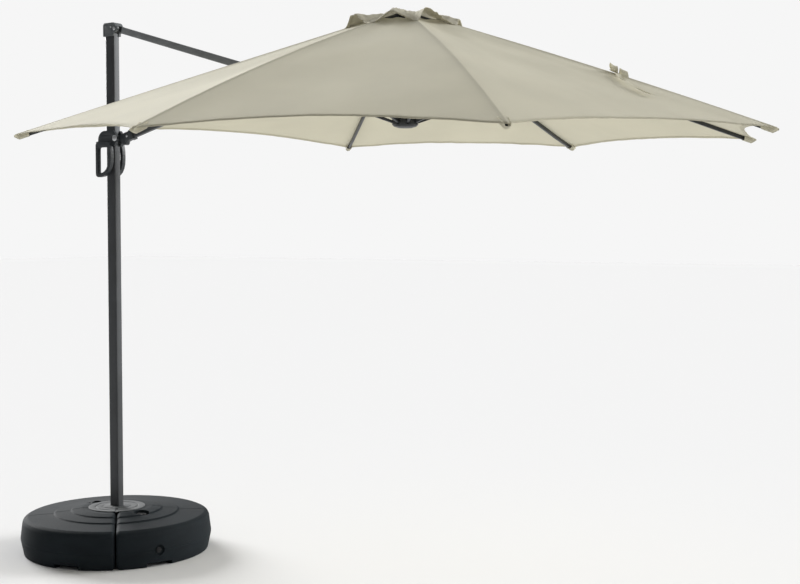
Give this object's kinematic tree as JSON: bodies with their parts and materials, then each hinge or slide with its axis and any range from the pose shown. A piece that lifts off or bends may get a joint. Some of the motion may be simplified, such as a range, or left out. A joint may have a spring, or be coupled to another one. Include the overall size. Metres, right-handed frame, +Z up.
{
  "type": "cantilever patio umbrella",
  "caption": "Cantilever patio umbrella: a round fillable base, a side mast, a folding arm and tie rod, and an eight-sided vented canopy.",
  "frame": {"origin": "on the ground, on the mast's axis, under the middle of the base", "axes": "+Z up, +X from the mast to the middle of the canopy, +Y across"},
  "size_m": [3.979, 3.33, 2.744],
  "materials": {
    "fabric": "plain woven polyester, matt",
    "painted_steel": "dark powder coat",
    "tank_plastic": "fine-grained blow-moulded polyethylene",
    "cover_plastic": "satin grey",
    "grey_plastic": "satin dark grey",
    "anthracite": "anthracite powder coat",
    "steel": "zinc-plated",
    "black_plastic": "satin black"
  },
  "bodies": {
    "base": {"cross_frame": "painted_steel", "tank_1": "tank_plastic", "tank_2": "tank_plastic", "filler_cap_1": "black_plastic", "filler_cap_2": "black_plastic", "drain_plug_1": "black_plastic", "drain_plug_2": "black_plastic", "base_cover": "cover_plastic"},
    "mast": {"turntable": "cover_plastic", "mast": "anthracite", "mast_head": "grey_plastic", "head_pin": "steel"},
    "tie_rod": {"tie_rod": "anthracite", "tie_rod_upper_end": "black_plastic", "tie_rod_lower_end": "black_plastic"},
    "arm": {"arm": "anthracite", "arm_root": "black_plastic", "arm_bracket": "black_plastic", "mid_pin": "steel", "arm_tip": "black_plastic", "canopy_panel_5": "fabric"},
    "slider": {"slider_housing": "grey_plastic", "slider_pin": "steel", "handle_left": "black_plastic", "handle_right": "black_plastic"},
    "lever": {"release_lever": "black_plastic"},
    "hub": {"top_hub": "black_plastic", "hub_pin_ring": "steel", "vent_cap": "fabric"},
    "runner": {"runner": "black_plastic", "runner_pin_ring": "steel"},
    "rib_1": {"rib_1": "anthracite", "canopy_panel_1": "fabric", "tie_strap": "fabric"},
    "strut_1": {"strut_1": "anthracite"},
    "rib_2": {"rib_2": "anthracite", "canopy_panel_2": "fabric"},
    "strut_2": {"strut_2": "anthracite"},
    "rib_3": {"rib_3": "anthracite", "canopy_panel_3": "fabric"},
    "strut_3": {"strut_3": "anthracite"},
    "rib_4": {"rib_4": "anthracite", "canopy_panel_4": "fabric"},
    "strut_4": {"strut_4": "anthracite"},
    "strut_5": {"strut_5": "anthracite"},
    "rib_6": {"rib_6": "anthracite", "canopy_panel_6": "fabric"},
    "strut_6": {"strut_6": "anthracite"},
    "rib_7": {"rib_7": "anthracite", "canopy_panel_7": "fabric"},
    "strut_7": {"strut_7": "anthracite"},
    "rib_8": {"rib_8": "anthracite", "canopy_panel_8": "fabric"},
    "strut_8": {"strut_8": "anthracite"}
  },
  "joints": [
    {"name": "mast_swivel", "type": "hinge", "parent": "base", "child": "mast", "pos_m": [0, 0, 0.2], "axis": [0, 0, 1], "continuous": true},
    {"name": "tie_rod_pivot", "type": "hinge", "parent": "mast", "child": "tie_rod", "pos_m": [0.042, 0, 2.712], "axis": [0, 1, 0], "range_deg": [0, 63.5], "deforming": ["canopy_panel_1", "canopy_panel_2", "canopy_panel_3", "canopy_panel_4", "canopy_panel_5", "canopy_panel_6", "canopy_panel_7", "canopy_panel_8", "vent_cap", "tie_strap"]},
    {"name": "arm_pivot", "type": "hinge", "parent": "tie_rod", "child": "arm", "pos_m": [0.99454, 0, 2.431], "axis": [0, 1, 0], "range_deg": [-127.5, 0]},
    {"name": "slider_pivot", "type": "hinge", "parent": "arm", "child": "slider", "pos_m": [0.042, 0, 2.15], "axis": [0, 1, 0], "range_deg": [0, 64]},
    {"name": "release_lever_pivot", "type": "hinge", "parent": "slider", "child": "lever", "pos_m": [-0.058, 0, 2.134], "axis": [0, 1, 0], "range_deg": [0, 12], "stiffness_Nm_per_rad": 0.6, "springref_deg": -11.46},
    {"name": "hub_pivot", "type": "hinge", "parent": "arm", "child": "hub", "pos_m": [1.776, 0, 2.615], "axis": [0, 1, 0], "range_deg": [0, 64]},
    {"name": "rib_1_pivot", "type": "hinge", "parent": "hub", "child": "rib_1", "pos_m": [1.872, 0, 2.615], "axis": [0, 1, 0], "range_deg": [0, 64]},
    {"name": "strut_1_pivot", "type": "hinge", "parent": "rib_1", "child": "strut_1", "pos_m": [2.55141, 0, 2.382], "axis": [0, 1, 0], "range_deg": [-127.5, 0]},
    {"name": "rib_2_pivot", "type": "hinge", "parent": "hub", "child": "rib_2", "pos_m": [1.85794, 0.03394, 2.615], "axis": [-0.7071, 0.7071, 0], "range_deg": [0, 64]},
    {"name": "strut_2_pivot", "type": "hinge", "parent": "rib_2", "child": "strut_2", "pos_m": [2.33836, 0.51436, 2.382], "axis": [-0.7071, 0.7071, 0], "range_deg": [-127.5, 0]},
    {"name": "rib_3_pivot", "type": "hinge", "parent": "hub", "child": "rib_3", "pos_m": [1.824, 0.048, 2.615], "axis": [-1, 0, 0], "range_deg": [0, 64]},
    {"name": "strut_3_pivot", "type": "hinge", "parent": "rib_3", "child": "strut_3", "pos_m": [1.824, 0.72741, 2.382], "axis": [-1, 0, 0], "range_deg": [-127.5, 0]},
    {"name": "rib_4_pivot", "type": "hinge", "parent": "hub", "child": "rib_4", "pos_m": [1.79006, 0.03394, 2.615], "axis": [-0.7071, -0.7071, 0], "range_deg": [0, 64]},
    {"name": "strut_4_pivot", "type": "hinge", "parent": "rib_4", "child": "strut_4", "pos_m": [1.30964, 0.51436, 2.382], "axis": [-0.7071, -0.7071, 0], "range_deg": [-127.5, 0]},
    {"name": "strut_5_pivot", "type": "hinge", "parent": "arm", "child": "strut_5", "pos_m": [1.09659, 0, 2.382], "axis": [0, -1, 0], "range_deg": [-127.5, 0]},
    {"name": "rib_6_pivot", "type": "hinge", "parent": "hub", "child": "rib_6", "pos_m": [1.79006, -0.03394, 2.615], "axis": [0.7071, -0.7071, 0], "range_deg": [0, 64]},
    {"name": "strut_6_pivot", "type": "hinge", "parent": "rib_6", "child": "strut_6", "pos_m": [1.30964, -0.51436, 2.382], "axis": [0.7071, -0.7071, 0], "range_deg": [-127.5, 0]},
    {"name": "rib_7_pivot", "type": "hinge", "parent": "hub", "child": "rib_7", "pos_m": [1.824, -0.048, 2.615], "axis": [1, 0, 0], "range_deg": [0, 64]},
    {"name": "strut_7_pivot", "type": "hinge", "parent": "rib_7", "child": "strut_7", "pos_m": [1.824, -0.72741, 2.382], "axis": [1, 0, 0], "range_deg": [-127.5, 0]},
    {"name": "rib_8_pivot", "type": "hinge", "parent": "hub", "child": "rib_8", "pos_m": [1.85794, -0.03394, 2.615], "axis": [0.7071, 0.7071, 0], "range_deg": [0, 64]},
    {"name": "strut_8_pivot", "type": "hinge", "parent": "rib_8", "child": "strut_8", "pos_m": [2.33836, -0.51436, 2.382], "axis": [0.7071, 0.7071, 0], "range_deg": [-127.5, 0]},
    {"name": "runner_pivot", "type": "hinge", "parent": "strut_1", "child": "runner", "pos_m": [1.872, 0, 2.149], "axis": [0, 1, 0], "range_deg": [0, 64]}
  ],
  "couplings": [
    {"joint": "arm_pivot", "follows": "tie_rod_pivot", "ratio": -2},
    {"joint": "slider_pivot", "follows": "tie_rod_pivot", "ratio": 1},
    {"joint": "hub_pivot", "follows": "tie_rod_pivot", "ratio": 1},
    {"joint": "rib_1_pivot", "follows": "tie_rod_pivot", "ratio": 1},
    {"joint": "strut_1_pivot", "follows": "tie_rod_pivot", "ratio": -2},
    {"joint": "rib_2_pivot", "follows": "tie_rod_pivot", "ratio": 1},
    {"joint": "strut_2_pivot", "follows": "tie_rod_pivot", "ratio": -2},
    {"joint": "rib_3_pivot", "follows": "tie_rod_pivot", "ratio": 1},
    {"joint": "strut_3_pivot", "follows": "tie_rod_pivot", "ratio": -2},
    {"joint": "rib_4_pivot", "follows": "tie_rod_pivot", "ratio": 1},
    {"joint": "strut_4_pivot", "follows": "tie_rod_pivot", "ratio": -2},
    {"joint": "strut_5_pivot", "follows": "tie_rod_pivot", "ratio": -2},
    {"joint": "rib_6_pivot", "follows": "tie_rod_pivot", "ratio": 1},
    {"joint": "strut_6_pivot", "follows": "tie_rod_pivot", "ratio": -2},
    {"joint": "rib_7_pivot", "follows": "tie_rod_pivot", "ratio": 1},
    {"joint": "strut_7_pivot", "follows": "tie_rod_pivot", "ratio": -2},
    {"joint": "rib_8_pivot", "follows": "tie_rod_pivot", "ratio": 1},
    {"joint": "strut_8_pivot", "follows": "tie_rod_pivot", "ratio": -2},
    {"joint": "runner_pivot", "follows": "tie_rod_pivot", "ratio": 1}
  ]
}
